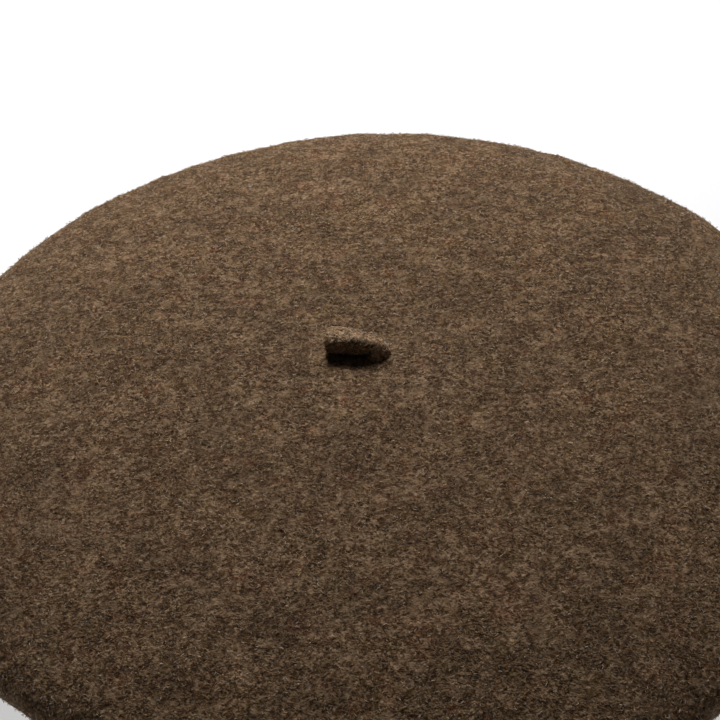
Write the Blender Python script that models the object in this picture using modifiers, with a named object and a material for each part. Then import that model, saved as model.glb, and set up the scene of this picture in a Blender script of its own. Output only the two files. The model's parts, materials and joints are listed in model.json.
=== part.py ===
"""A lined wool felt beret, lying on its head opening on a level surface.

Metres, +Z up. The origin is on the surface that the hat lies on, under the middle of its crown. +Y is
the back of the hat. Every shape is worked out from the driving dimensions below.
"""

import math

import bmesh
import bpy

# Felt body
CROWN_RADIUS = 0.1400  # at the rim's widest level
RIM_HEIGHT = 0.0170  # of the rim's widest level, above the surface
CROWN_RISE = 0.0170  # of the crown's middle, above the rim's widest level
OPENING_RADIUS = 0.0910  # of the felt's cut edge round the head opening
SEAT_WIDTH = 0.0060  # of the flat ring that the hat lies on
FELT = 0.0026  # thickness
CROWN_SQUARENESS = 2.6  # powers of the two quarter superellipses: 2 is an ellipse,
CROWN_SHOULDER = 2.3  # and more is squarer
BRIM_SQUARENESS = 2.2

# Stalk
STALK_LENGTH = 0.0190
STALK_ROOT_RADIUS = 0.0026
STALK_TIP_RADIUS = 0.0036
STALK_TIP_ROUNDING = 0.0012
STALK_LEAN = math.radians(86)  # from upright, towards -X
STALK_TURN = math.radians(11)  # of its tip from -X, towards +Y
STALK_PLACE = (0.0050, 0.0024)  # of its root, from the crown's middle
TACK_RADIUS = 0.0035
TACK_THICKNESS = 0.0012

# Lining
LINING = 0.0008  # thickness
LINING_DROP = 0.0024  # of the lining's middle, below the felt
LINING_INSET = 0.0030  # of the lining's widest level, inside the felt
SEAM_ROOM = 0.0008  # from the seam's level to each lining's edge
SEAM_THREAD = 0.0004  # radius

# Sweatband and drawstring
BAND = 0.0010  # leather thickness
BAND_TOP = 0.0170  # height of the top edge
BAND_FOOT = 0.0006  # height of the bottom edge
CORD_RADIUS = 0.0008
STITCH_THREAD = 0.00025  # radius
STITCHES = 48
STITCH_HEIGHT = 0.0018  # of the zigzag
STITCH_RAISE = 0.0012  # of the zigzag, above the sweatband's foot
JOIN_WIDTH = 0.0100
JOIN_THICKNESS = 0.0008
JOIN_EDGE = 0.0012  # of sweatband left above the tab
EDGE_EASE = 0.3  # of a strip's thickness, taken off its edges

# Bow, at the back
RIBBON = 0.0004  # thickness
RIBBON_WIDTH = 0.0050
BOW_HEIGHT = 0.0120  # of the knot's middle
KNOT = (0.0052, 0.0026, 0.0044)
KNOT_ROUNDING = 0.0009
LOOP_LENGTH = 0.0140
LOOP_DEPTH = 0.0034
LOOP_TURN = math.radians(7)  # of each loop, away from the sweatband
LOOP_SHIFT = 0.0006  # of each loop from the knot's middle, away from the sweatband
TAIL_LENGTH = 0.0075
TAIL_SPLAY = math.radians(14)
TAIL_SPREAD = 0.0014  # of each tail's top, from the knot's middle
TAIL_DROP = 0.0016  # of each tail's top, below the knot

# Size label
LABEL = (0.0180, 0.0005, 0.0100)
LABEL_BEARING = math.radians(118)  # round the opening, from +X
LABEL_DROP = 0.0004  # of its top edge, below the sweatband's

GAP = 0.0003  # between pieces that touch
BODY_STEPS = 60  # round the felt body and the sweatband
LINING_STEPS = 40
CROWN_RINGS = 10
BRIM_RINGS = 7
LINING_CROWN_RINGS = 7
LINING_BRIM_RINGS = 5
STALK_STEPS = 24
TACK_STEPS = 20
LOOP_POINTS = 24
JOIN_STEPS = 6
MERGE = 0.00001


def clear_scene():
    for obj in list(bpy.data.objects):
        bpy.data.objects.remove(obj, do_unlink=True)


def principled(name, colour, roughness):
    """A plain material. Colours are linear."""
    material = bpy.data.materials.new(name)
    material.use_nodes = True
    shader = material.node_tree.nodes["Principled BSDF"]
    shader.inputs["Base Color"].default_value = (*colour, 1.0)
    shader.inputs["Roughness"].default_value = roughness
    shader.inputs["Metallic"].default_value = 0.0
    return material


def placed(name, data, material, location=(0, 0, 0), rotation=(0, 0, 0)):
    """An object of the hat, at its place and wearing its material."""
    obj = bpy.data.objects.new(name, data)
    if material.name not in data.materials:
        data.materials.append(material)
    obj.location = location
    obj.rotation_euler = rotation
    obj.parent = hat_frame
    hat.objects.link(obj)
    return obj


def smooth(obj):
    obj.data.shade_smooth()
    obj.data.set_sharp_from_angle(angle=math.radians(40))


def profile_mesh(name, outline, closed):
    """A line of edges in the XZ plane, from (radius, height) pairs."""
    mesh = bpy.data.meshes.new(name)
    count = len(outline)
    edges = [(i, (i + 1) % count) for i in range(count if closed else count - 1)]
    mesh.from_pydata([(radius, 0.0, height) for radius, height in outline], edges, [])
    return mesh


def turned(name, outline, material, steps, closed=False, **placing):
    """A profile turned round Z. It runs down the outer side, top to bottom."""
    obj = placed(name, profile_mesh(name, outline, closed), material, **placing)
    screw = obj.modifiers.new("turn", "SCREW")
    screw.axis = "Z"
    screw.angle = math.tau
    screw.steps = steps
    screw.render_steps = steps
    screw.use_merge_vertices = True
    screw.merge_threshold = MERGE
    screw.use_smooth_shade = True
    return obj


def turned_shell(name, outline, thickness, material, steps):
    """A turned sheet, thickened inwards from its outer side."""
    obj = turned(name, outline, material, steps)
    solidify = obj.modifiers.new("thickness", "SOLIDIFY")
    solidify.thickness = thickness
    solidify.offset = -1.0
    solidify.use_even_offset = True
    return obj


def ring_tube(name, points, radius, sides, material):
    """A closed thread or cord along the points."""
    curve = bpy.data.curves.new(name, "CURVE")
    curve.dimensions = "3D"
    curve.bevel_depth = radius
    curve.bevel_resolution = sides // 2 - 2
    spline = curve.splines.new("POLY")
    spline.points.add(len(points) - 1)
    for point, place in zip(spline.points, points):
        point.co = (*place, 1.0)
    spline.use_cyclic_u = True
    return placed(name, curve, material)


def block(name, size, material, bevel, lift=0.0, **placing):
    """A box with rounded edges. Its middle is lift above the object's origin."""
    mesh = bpy.data.meshes.new(name)
    shape = bmesh.new()
    bmesh.ops.create_cube(shape, size=1.0)
    bmesh.ops.scale(shape, vec=size, verts=shape.verts)
    bmesh.ops.translate(shape, vec=(0.0, 0.0, lift), verts=shape.verts)
    shape.to_mesh(mesh)
    shape.free()
    obj = placed(name, mesh, material, **placing)
    rounding = obj.modifiers.new("rounding", "BEVEL")
    rounding.width = bevel
    rounding.segments = 2
    rounding.limit_method = "NONE"
    return obj


def circle(radius, height, count):
    turns = [math.tau * i / count for i in range(count)]
    return [(radius * math.cos(a), radius * math.sin(a), height) for a in turns]


def quarter(count):
    """Angles from 0 to a right angle."""
    return [math.pi / 2 * i / count for i in range(count + 1)]


def crown_outline(radius, rim_height, rise, count):
    """From the middle of the crown out and down to its widest level."""
    return [
        (
            radius * math.sin(a) ** (2 / CROWN_SQUARENESS),
            rim_height + rise * max(math.cos(a), 0.0) ** (2 / CROWN_SHOULDER),
        )
        for a in quarter(count)
    ]


def brim_outline(radius, rim_height, inner_radius, inner_height, count):
    """From the widest level down and in to the inner radius."""
    return [
        (
            inner_radius
            + (radius - inner_radius) * max(math.cos(a), 0.0) ** (2 / BRIM_SQUARENESS),
            rim_height
            - (rim_height - inner_height) * math.sin(a) ** (2 / BRIM_SQUARENESS),
        )
        for a in quarter(count)
    ]


def crown_top():
    return RIM_HEIGHT + CROWN_RISE


def lining_radius():
    return CROWN_RADIUS - FELT - LINING_INSET


def band_outer():
    return OPENING_RADIUS * math.cos(math.pi / BODY_STEPS) - GAP


def cord_ring_radius():
    return OPENING_RADIUS + CORD_RADIUS + GAP


def band_inner():
    """Radius inside the sweatband, at the middle of its facets."""
    return (band_outer() - BAND) * math.cos(math.pi / BODY_STEPS)


def make_felt_body(felt):
    seat = OPENING_RADIUS + SEAT_WIDTH
    crown = crown_outline(CROWN_RADIUS, RIM_HEIGHT, CROWN_RISE, CROWN_RINGS)
    brim = brim_outline(CROWN_RADIUS, RIM_HEIGHT, seat, 0.0, BRIM_RINGS)
    outline = crown + brim[1:] + [(OPENING_RADIUS, 0.0)]
    turned_shell("felt_body", outline, FELT, felt, BODY_STEPS)


def make_stalk(felt):
    """A tapered felt tail. Its origin is the middle of its round root, which its joint turns about."""
    root, tip = STALK_ROOT_RADIUS, STALK_TIP_RADIUS
    reach = STALK_LENGTH - root
    edge = STALK_TIP_ROUNDING
    outline = [(0.0, reach), (tip - edge, reach)]
    for a in quarter(3)[1:]:
        outline.append((tip - edge + edge * math.sin(a), reach - edge + edge * math.cos(a)))
    for a in quarter(5):
        outline.append((root * math.cos(a), -root * math.sin(a)))
    outline[-1] = (0.0, -root)
    turned(
        "stalk",
        outline,
        felt,
        STALK_STEPS,
        location=(*STALK_PLACE, crown_top() + GAP + root),
        rotation=(0.0, -STALK_LEAN, -STALK_TURN),
    )


def make_stalk_tack(thread):
    """The flat coil of thread under the crown that ties the stalk down."""
    under_felt = crown_top() - FELT
    half = TACK_THICKNESS / 2
    outline = [
        (TACK_RADIUS * math.sin(a), half * math.cos(a))
        for a in [math.pi * i / 8 for i in range(9)]
    ]
    outline[0] = (0.0, half)
    outline[-1] = (0.0, -half)
    place = (*STALK_PLACE, under_felt - GAP - half)
    turned("stalk_tack", outline, thread, TACK_STEPS, location=place)


def make_linings(satin):
    radius = lining_radius()
    rise = CROWN_RISE - FELT - LINING_DROP
    start = RIM_HEIGHT + SEAM_ROOM
    crown = crown_outline(radius, start, rise - SEAM_ROOM, LINING_CROWN_RINGS)
    turned_shell("crown_lining", crown, LINING, satin, LINING_STEPS)
    foot = cord_ring_radius() + CORD_RADIUS + LINING + 4 * GAP
    foot_height = FELT + LINING + GAP
    brim = brim_outline(radius, RIM_HEIGHT - SEAM_ROOM, foot, foot_height, LINING_BRIM_RINGS)
    turned_shell("brim_lining", brim, LINING, satin, LINING_STEPS)


def make_lining_seam(thread):
    radius = lining_radius() - LINING - 2 * GAP - SEAM_THREAD
    points = circle(radius, RIM_HEIGHT, LINING_STEPS)
    ring_tube("lining_seam", points, SEAM_THREAD, 6, thread)


def make_sweatband(leather):
    """A leather strip that stands inside the opening, with eased edges."""
    outer, inner = band_outer(), band_outer() - BAND
    ease = BAND * EDGE_EASE
    outline = [
        (outer - ease, BAND_TOP),
        (outer, BAND_TOP - ease),
        (outer, BAND_FOOT + ease),
        (outer - ease, BAND_FOOT),
        (inner + ease, BAND_FOOT),
        (inner, BAND_FOOT + ease),
        (inner, BAND_TOP - ease),
        (inner + ease, BAND_TOP),
    ]
    turned("sweatband", outline, leather, BODY_STEPS, closed=True)


def make_band_stitching(thread):
    """The zigzag that sews the sweatband's foot to the felt."""
    radius = band_inner() - GAP - STITCH_THREAD
    points = circle(radius, BAND_FOOT + STITCH_RAISE, STITCHES * 2)
    zigzag = [(x, y, z + STITCH_HEIGHT * (i % 2)) for i, (x, y, z) in enumerate(points)]
    ring_tube("band_stitching", zigzag, STITCH_THREAD, 6, thread)


def make_band_join(leather):
    """The tab that covers the sweatband's two ends, curved like the band."""
    outer = band_inner() - GAP
    half_turn = JOIN_WIDTH / 2 / outer
    low = BAND_FOOT + STITCH_RAISE + STITCH_HEIGHT + STITCH_THREAD + 2 * GAP
    high = BAND_TOP - JOIN_EDGE
    outline = [
        (outer, high),
        (outer, low),
        (outer - JOIN_THICKNESS, low),
        (outer - JOIN_THICKNESS, high),
    ]
    mesh = bpy.data.meshes.new("band_join")
    section = bmesh.new()
    corners = [section.verts.new((radius, 0.0, height)) for radius, height in outline]
    face = section.faces.new(corners)
    bmesh.ops.spin(
        section,
        geom=[face],
        cent=(0.0, 0.0, 0.0),
        axis=(0.0, 0.0, 1.0),
        angle=2 * half_turn,
        steps=JOIN_STEPS,
    )
    bmesh.ops.recalc_face_normals(section, faces=section.faces)
    section.to_mesh(mesh)
    section.free()
    placed("band_join", mesh, leather, rotation=(0.0, 0.0, math.pi / 2 - half_turn))


def make_drawstring(cord):
    """The cord behind the sweatband's foot."""
    height = FELT + GAP + CORD_RADIUS * 1.2
    points = circle(cord_ring_radius(), height, BODY_STEPS)
    ring_tube("drawstring", points, CORD_RADIUS, 6, cord)


def knot_depth():
    """How far back the knot's middle is."""
    return band_inner() - GAP - JOIN_THICKNESS - GAP - KNOT[1] / 2


def make_bow_knot(ribbon):
    place = (0.0, knot_depth(), BOW_HEIGHT)
    block("bow_knot", KNOT, ribbon, KNOT_ROUNDING, location=place)


def teardrop(length, depth, count):
    """A loop's outline in the XY plane, pointed at its start."""
    points = []
    for i in range(count):
        a = math.tau * i / count
        along = (1 - math.cos(a)) / 2
        points.append((length * along, depth / 2 * math.sin(a) * along**0.5))
    return points


def make_bow_loop(name, side, ribbon):
    """A loop of flat ribbon, standing on its edge beside the knot."""
    curve = bpy.data.curves.new(name, "CURVE")
    curve.dimensions = "2D"
    curve.fill_mode = "BOTH"
    curve.extrude = RIBBON_WIDTH / 2
    outer = teardrop(LOOP_LENGTH, LOOP_DEPTH, LOOP_POINTS)
    inner_length = LOOP_LENGTH - RIBBON * 3
    inner = [
        (RIBBON * 2 + x, y)
        for x, y in teardrop(inner_length, LOOP_DEPTH - RIBBON * 2, LOOP_POINTS)
    ]
    for outline in (outer, inner):
        spline = curve.splines.new("POLY")
        spline.points.add(len(outline) - 1)
        for point, (x, y) in zip(spline.points, outline):
            point.co = (x * side, y, 0.0, 1.0)
        spline.use_cyclic_u = True
    start = side * (KNOT[0] / 2 + GAP)
    placed(
        name,
        curve,
        ribbon,
        location=(start, knot_depth() - LOOP_SHIFT, BOW_HEIGHT),
        rotation=(0.0, 0.0, -side * LOOP_TURN),
    )


def make_bow_tail(name, side, ribbon):
    """A ribbon end that hangs from the knot. Its origin is at its top, on its joint's axis."""
    layer = side * (RIBBON + GAP) / 2
    top = BOW_HEIGHT - KNOT[2] / 2 - TAIL_DROP
    block(
        name,
        (RIBBON_WIDTH, RIBBON, TAIL_LENGTH),
        ribbon,
        RIBBON * EDGE_EASE,
        lift=-TAIL_LENGTH / 2,
        location=(side * TAIL_SPREAD, knot_depth() + layer, top),
        rotation=(0.0, -side * TAIL_SPLAY, 0.0),
    )


def make_size_label(tape):
    """A blank woven tag. Its origin is on its top edge, which it flips about."""
    half_width = LABEL[0] / 2
    out = math.sqrt((band_inner() - GAP) ** 2 - half_width**2) - LABEL[1] / 2
    block(
        "size_label",
        LABEL,
        tape,
        LABEL[1] * EDGE_EASE,
        lift=-LABEL[2] / 2,
        location=(
            out * math.cos(LABEL_BEARING),
            out * math.sin(LABEL_BEARING),
            BAND_TOP - LABEL_DROP,
        ),
        rotation=(0.0, 0.0, LABEL_BEARING - math.pi / 2),
    )


clear_scene()
hat = bpy.data.collections.new("beret")
bpy.context.scene.collection.children.link(hat)
hat_frame = bpy.data.objects.new("beret_frame", None)
hat.objects.link(hat_frame)

brown_felt = principled("felt", (0.115, 0.078, 0.047), 0.95)
tan_leather = principled("leather", (0.145, 0.070, 0.030), 0.5)
lining_satin = principled("satin", (0.060, 0.038, 0.024), 0.35)
brown_thread = principled("thread", (0.085, 0.055, 0.034), 0.7)
bow_ribbon = principled("ribbon", (0.050, 0.030, 0.018), 0.4)
cotton_cord = principled("cord", (0.090, 0.062, 0.040), 0.85)
label_tape = principled("label_tape", (0.62, 0.58, 0.50), 0.6)

make_felt_body(brown_felt)
make_stalk(brown_felt)
make_stalk_tack(brown_thread)
make_linings(lining_satin)
make_lining_seam(brown_thread)
make_sweatband(tan_leather)
make_band_stitching(brown_thread)
make_band_join(tan_leather)
make_drawstring(cotton_cord)
make_bow_knot(bow_ribbon)
for side_name, side in (("left", -1), ("right", 1)):
    make_bow_loop(f"bow_loop_{side_name}", side, bow_ribbon)
    make_bow_tail(f"bow_tail_{side_name}", side, bow_ribbon)
make_size_label(label_tape)

for piece in hat.objects:
    if piece.type == "MESH":
        smooth(piece)
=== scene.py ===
"""The looks of a lined wool felt beret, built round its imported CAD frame.

Metres, in the CAD's own frame: +Z is up out of the crown and +Y is the back of the hat. Each piece
and each material has its own function. Nothing here moves or resizes a CAD part.
"""

import json
import math

import bmesh
import bpy
import numpy as np
from mathutils import Matrix, Vector


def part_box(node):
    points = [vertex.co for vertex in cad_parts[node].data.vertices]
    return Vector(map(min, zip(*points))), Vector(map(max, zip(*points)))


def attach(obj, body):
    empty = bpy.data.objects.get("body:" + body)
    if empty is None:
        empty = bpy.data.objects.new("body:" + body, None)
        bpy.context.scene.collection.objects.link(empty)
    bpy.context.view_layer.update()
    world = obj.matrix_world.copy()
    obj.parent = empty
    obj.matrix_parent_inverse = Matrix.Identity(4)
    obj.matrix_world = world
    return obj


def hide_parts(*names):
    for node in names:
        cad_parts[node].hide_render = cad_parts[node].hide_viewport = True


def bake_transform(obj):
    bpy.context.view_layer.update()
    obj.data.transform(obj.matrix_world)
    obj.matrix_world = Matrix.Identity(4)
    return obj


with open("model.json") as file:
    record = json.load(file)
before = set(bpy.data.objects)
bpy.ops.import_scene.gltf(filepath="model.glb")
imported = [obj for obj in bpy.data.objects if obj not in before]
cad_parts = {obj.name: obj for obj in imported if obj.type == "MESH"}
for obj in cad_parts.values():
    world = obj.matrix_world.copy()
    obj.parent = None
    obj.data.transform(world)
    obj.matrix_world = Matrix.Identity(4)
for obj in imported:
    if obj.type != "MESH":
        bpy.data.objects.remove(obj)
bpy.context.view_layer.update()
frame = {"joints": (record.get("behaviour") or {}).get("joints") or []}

MM = 0.001

# The felt body's shape, from its CAD solid's box and the same quarter superellipses
felt_low, felt_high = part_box("felt_body")
CROWN_RADIUS = felt_high.x
CROWN_TOP = felt_high.z
RIM_HEIGHT = CROWN_TOP / 2
OPENING_RADIUS = 91.0 * MM
SEAT_WIDTH = 6.0 * MM
FELT = 2.6 * MM
CROWN_SQUARENESS = 2.6
CROWN_SHOULDER = 2.3
BRIM_SQUARENESS = 2.2

# The stalk, lying towards -X from its round root
stalk_joint = next(j for j in frame["joints"] if j["name"] == "stalk_flop")
STALK_PIVOT = Vector(stalk_joint["pos_m"])
STALK_LEAN = math.radians(86)  # from upright
STALK_TURN = math.radians(11)  # of its tip from -X, towards +Y
STALK_REACH = 15.0 * MM  # from its pivot to where its end starts to round over

# Inside
LINING = 0.35 * MM
lining_low, lining_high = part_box("crown_lining")
LINING_RADIUS = lining_high.x - 0.4 * MM
band_low, band_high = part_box("sweatband")
BAND_OUTSIDE = band_high.x - 0.12 * MM
BAND_THICKNESS = 0.9 * MM
BAND_INSIDE = BAND_OUTSIDE - BAND_THICKNESS
knot_low, knot_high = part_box("bow_knot")
KNOT_MIDDLE = (knot_low + knot_high) / 2
RIBBON = 0.36 * MM
RIBBON_WIDTH = 5.0 * MM
label_joint = next(j for j in frame["joints"] if j["name"] == "label_flip")

AROUND = 400  # columns round the felt
FELT_ROWS = 160
SMALL_MESH = 5000  # faces, below which the faces are turned out one by one
FINE_COLUMNS = 480  # round the linings and the sweatband
rng = np.random.default_rng(1923)


# ---- Meshes


def unit(vectors):
    return vectors / np.linalg.norm(vectors, axis=-1, keepdims=True)


def polar(radius, turn, height):
    """Points at a radius, a bearing and a height."""
    return np.stack([radius * np.cos(turn), radius * np.sin(turn), height + 0 * turn], -1)


def facing_out(points, faces):
    """The faces of closed bodies, turned over if they face inwards."""
    volume = 0.0
    for block in faces:
        corners = np.asarray(points)[block]
        for k in range(1, block.shape[1] - 1):
            volume += (corners[:, 0] * np.cross(corners[:, k], corners[:, k + 1])).sum()
    return faces if volume >= 0 else [block[:, ::-1] for block in faces]


def mesh_object(name, points, faces, material, smooth=True):
    """A mesh object from an array of points and one or more arrays of faces."""
    faces = facing_out(points, [np.asarray(block, np.int32) for block in faces])
    sizes = np.concatenate([np.full(len(block), block.shape[1]) for block in faces])
    corners = np.concatenate([block.reshape(-1) for block in faces])
    mesh = bpy.data.meshes.new(name)
    mesh.vertices.add(len(points))
    mesh.vertices.foreach_set("co", np.asarray(points, np.float32).reshape(-1))
    mesh.loops.add(len(corners))
    mesh.loops.foreach_set("vertex_index", corners.astype(np.int32))
    mesh.polygons.add(len(sizes))
    starts = np.concatenate([[0], np.cumsum(sizes)[:-1]])
    mesh.polygons.foreach_set("loop_start", starts.astype(np.int32))
    mesh.update(calc_edges=True)
    mesh.validate()
    if len(sizes) < SMALL_MESH:
        shape = bmesh.new()
        shape.from_mesh(mesh)
        bmesh.ops.recalc_face_normals(shape, faces=shape.faces)
        shape.to_mesh(mesh)
        shape.free()
    if smooth:
        mesh.shade_smooth()
    for one in material if isinstance(material, (list, tuple)) else [material]:
        mesh.materials.append(one)
    obj = bpy.data.objects.new(name, mesh)
    bpy.context.scene.collection.objects.link(obj)
    return obj


def grid_faces(rows, columns, closed_rows=False, closed_columns=True, first=0):
    """Quads between the rows of a grid of points. Columns run round, and rows along."""
    i = np.arange(rows if closed_rows else rows - 1)[:, None]
    j = np.arange(columns if closed_columns else columns - 1)[None, :]
    below, beside = (i + 1) % rows, (j + 1) % columns
    near, far = i * columns, below * columns
    corners = (near + j, far + j, far + beside, near + beside)
    shape = np.broadcast(i, j).shape
    return first + np.stack([np.broadcast_to(c, shape) for c in corners], -1).reshape(-1, 4)


def capped_grid(grid):
    """Points and faces of a closed body whose rows start and end at a point."""
    rows, columns, _ = grid.shape
    middle = grid[1:-1].reshape(-1, 3)
    points = np.vstack([grid[0].mean(0)[None], middle, grid[-1].mean(0)[None]])
    j = np.arange(columns)
    beside = (j + 1) % columns
    last = len(points) - 1
    final = 1 + (rows - 3) * columns
    top = np.stack([np.zeros(columns, int), 1 + j, 1 + beside], -1)
    bottom = np.stack([np.full(columns, last), final + beside, final + j], -1)
    return points, [top, grid_faces(rows - 2, columns, first=1), bottom]


def turned_grid(outline, columns):
    """An outline of (radius, height) pairs turned round Z."""
    outline = np.asarray(outline)
    return polar(outline[:, :1], math.tau * np.arange(columns) / columns, outline[:, 1:])


def tube_parts(path, radius, sides, closed=True):
    """Points and faces of a tube along a path of points. An open one has pointed ends."""
    path = np.asarray(path, float)
    along = unit(np.roll(path, -1, 0) - np.roll(path, 1, 0) if closed else np.gradient(path, axis=0))
    reference = np.array([0.0, 0.0, 1.0]) if abs(along[:, 2]).mean() < 0.8 else np.array([1.0, 0.0, 0.0])
    side = unit(np.cross(along, reference))
    up = np.cross(side, along)
    a = math.tau * np.arange(sides) / sides
    radius = np.broadcast_to(np.asarray(radius, float), (len(path),))[:, None, None]
    ring = side[:, None] * np.cos(a)[None, :, None] + up[:, None] * np.sin(a)[None, :, None]
    grid = path[:, None] + ring * radius
    if closed:
        return grid.reshape(-1, 3), [grid_faces(len(path), sides, closed_rows=True)[:, ::-1]]
    start, end = (point[:, None].repeat(sides, 1) for point in (path[:1], path[-1:]))
    points, faces = capped_grid(np.concatenate([start, grid, end]))
    return points, [block[:, ::-1] for block in faces]


def two_sided(rows, columns):
    """Faces of a panel: its front grid, its back grid, and the strip round its edge."""
    front = grid_faces(rows, columns, closed_columns=False)
    border = list(range(columns)) + [r * columns + columns - 1 for r in range(1, rows)]
    border += [(rows - 1) * columns + c for c in range(columns - 2, -1, -1)]
    border = np.array(border + [r * columns for r in range(rows - 2, 0, -1)])
    ahead, behind = np.roll(border, -1), rows * columns
    return [front, front[:, ::-1] + behind, np.stack([ahead, border, border + behind, ahead + behind], -1)]


def joined(parts):
    """Several (points, faces) pairs as one."""
    points, faces, first = [], [], 0
    for part_points, part_faces in parts:
        points.append(part_points)
        faces += [np.asarray(block) + first for block in part_faces]
        first += len(part_points)
    return np.vstack(points), faces


def repeated(points, faces, matrices):
    """One shape's points and faces at many places, given as 4x4 matrices."""
    matrices = np.asarray(matrices)
    flat = np.c_[points, np.ones(len(points))]
    placed = np.einsum("nij,pj->npi", matrices, flat)[..., :3].reshape(-1, 3)
    step = len(points) * np.arange(len(matrices))[:, None, None]
    return placed, [(np.asarray(block)[None] + step).reshape(-1, block.shape[1]) for block in faces]


def normals_of(grid):
    """Outward unit normals of a turned grid that runs from the crown's middle outwards."""
    along = np.gradient(grid, axis=0)
    around = np.roll(grid, -1, 1) - np.roll(grid, 1, 1)
    found = np.cross(along, around)
    found[0] = found[1]
    length = np.linalg.norm(found, axis=-1, keepdims=True)
    return found / np.maximum(length, 1e-12)


def waves(points, wavelength, count, seed):
    """A smooth random field of unit size: plane waves in many directions."""
    source = np.random.default_rng(seed)
    total = np.zeros(points.shape[:-1])
    for _ in range(count):
        direction = source.normal(size=3)
        direction /= np.linalg.norm(direction)
        stretch = source.uniform(0.6, 1.6)
        phase = source.uniform(0, math.tau)
        total += np.sin(points @ direction * math.tau * stretch / wavelength + phase)
    return total * math.sqrt(2 / count)


def smoothstep(x, low, high):
    t = np.clip((x - low) / (high - low), 0, 1)
    return t * t * (3 - 2 * t)


# ---- Materials


class Shader:
    """A material's node tree, built a node at a time."""

    def __init__(self, name):
        self.material = bpy.data.materials.new(name)
        self.material.use_nodes = True
        self.nodes = self.material.node_tree.nodes
        self.links = self.material.node_tree.links
        self.principled = self.nodes["Principled BSDF"]
        self.place = self.node("ShaderNodeTexCoord").outputs["Object"]

    def node(self, kind, inputs=None, **settings):
        made = self.nodes.new(kind)
        for name, value in settings.items():
            setattr(made, name, value)
        for name, value in (inputs or {}).items():
            self.put(made.inputs[name], value)
        return made

    def put(self, socket, value):
        if isinstance(value, bpy.types.NodeSocket):
            self.links.new(value, socket)
        else:
            socket.default_value = value

    def set(self, **values):
        """Principled inputs, by name with underscores for spaces. Returns the material."""
        for name, value in values.items():
            self.put(self.principled.inputs[name.replace("_", " ")], value)
        return self.material

    def shifted(self, x, y=0.0, z=0.0):
        """The place, moved, so that one noise differs from the next."""
        return self.node("ShaderNodeVectorMath", {0: self.place, 1: (x, y, z)}).outputs[0]

    def noise(self, scale, detail=2.0, rough=0.5, at=None, warp=0.0):
        inputs = {"Vector": at or self.place, "Scale": scale, "Detail": detail}
        inputs |= {"Roughness": rough, "Distortion": warp}
        return self.node("ShaderNodeTexNoise", inputs).outputs["Fac"]

    def ribs(self, axis, scale, warp, detail=2.0):
        """Straight ribs, one after another along an axis."""
        inputs = {"Vector": self.place, "Scale": scale, "Distortion": warp, "Detail": detail}
        return self.node("ShaderNodeTexWave", inputs, bands_direction=axis).outputs["Fac"]

    def math(self, operation, a, b=0.0):
        return self.node("ShaderNodeMath", {0: a, 1: b}, operation=operation).outputs[0]

    def band(self, value, low, high, to_low=0.0, to_high=1.0):
        """A smooth step of a value between two limits."""
        inputs = {"Value": value, "From Min": low, "From Max": high, "To Min": to_low, "To Max": to_high}
        return self.node("ShaderNodeMapRange", inputs, interpolation_type="SMOOTHSTEP").outputs[0]

    def times(self, a, b):
        return self.math("MULTIPLY", a, b)

    def mix(self, share, a, b, blend="MIX"):
        made = self.node("ShaderNodeMix", data_type="RGBA", blend_type=blend)
        self.put(made.inputs[0], share)
        for socket, value in ((made.inputs[6], a), (made.inputs[7], b)):
            self.put(socket, value if isinstance(value, bpy.types.NodeSocket) else (*value, 1.0))
        return made.outputs[2]

    def bump(self, height, distance, strength=1.0, below=None):
        inputs = {"Height": height, "Distance": distance, "Strength": strength}
        if below:
            inputs["Normal"] = below
        return self.node("ShaderNodeBump", inputs).outputs[0]

    def threads(self, scale, width, shift, warp):
        """Thin curly lines, where a noise crosses its middle, broken into short lengths."""
        at = self.shifted(shift, shift * 0.7, -shift)
        field = self.noise(scale, 1.5, 0.5, at, warp=warp)
        off_line = self.math("ABSOLUTE", self.math("SUBTRACT", field, 0.5))
        line = self.band(off_line, width, width * 0.35)
        gaps = self.noise(scale * 1.3, 1.0, 0.5, self.shifted(-shift, shift, 0.31))
        return self.times(line, self.band(gaps, 0.44, 0.56))


FELT_DARK = (0.026, 0.0095, 0.0020)
FELT_MIDDLE = (0.088, 0.038, 0.0105)
FELT_PALE = (0.345, 0.226, 0.134)
FELT_RUSSET = (0.124, 0.037, 0.014)
FELT_OLIVE = (0.086, 0.053, 0.015)


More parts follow.
